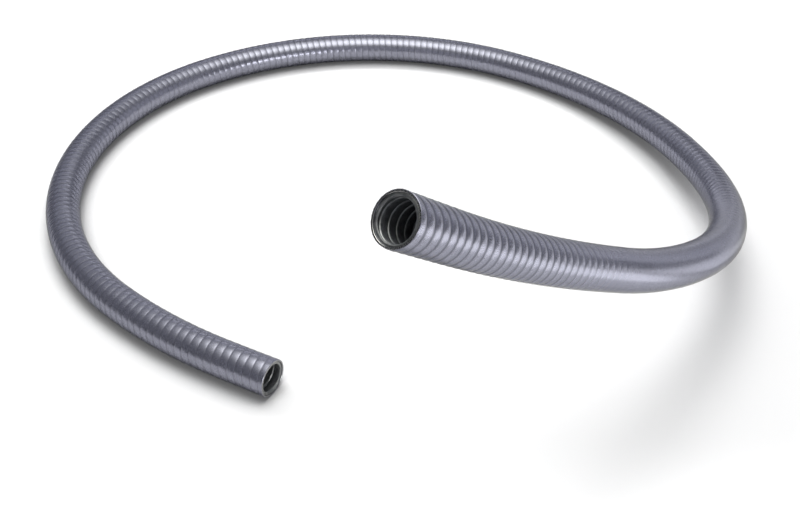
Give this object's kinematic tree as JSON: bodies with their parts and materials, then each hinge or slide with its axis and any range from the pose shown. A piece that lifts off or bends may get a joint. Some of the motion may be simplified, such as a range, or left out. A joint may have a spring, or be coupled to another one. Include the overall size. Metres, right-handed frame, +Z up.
{
  "type": "liquidtight flexible conduit",
  "caption": "Cut length of ribbed grey plastic-jacketed flexible steel conduit, lying as an open loop with one end sprung up off the floor, for carrying wires.",
  "frame": {"origin": "middle of the loop's footprint box, on the floor", "axes": "+Z up, +X to the right and +Y away from a viewer in front of the raised end"},
  "size_m": [0.4381, 0.5063, 0.2012],
  "materials": {
    "pvc_jacket": "satin grey PVC with a violet tint",
    "steel_core": "galvanised strip"
  },
  "bodies": {
    "root": {"pvc_jacket": "pvc_jacket", "steel_core": "steel_core"}
  },
  "joints": []
}
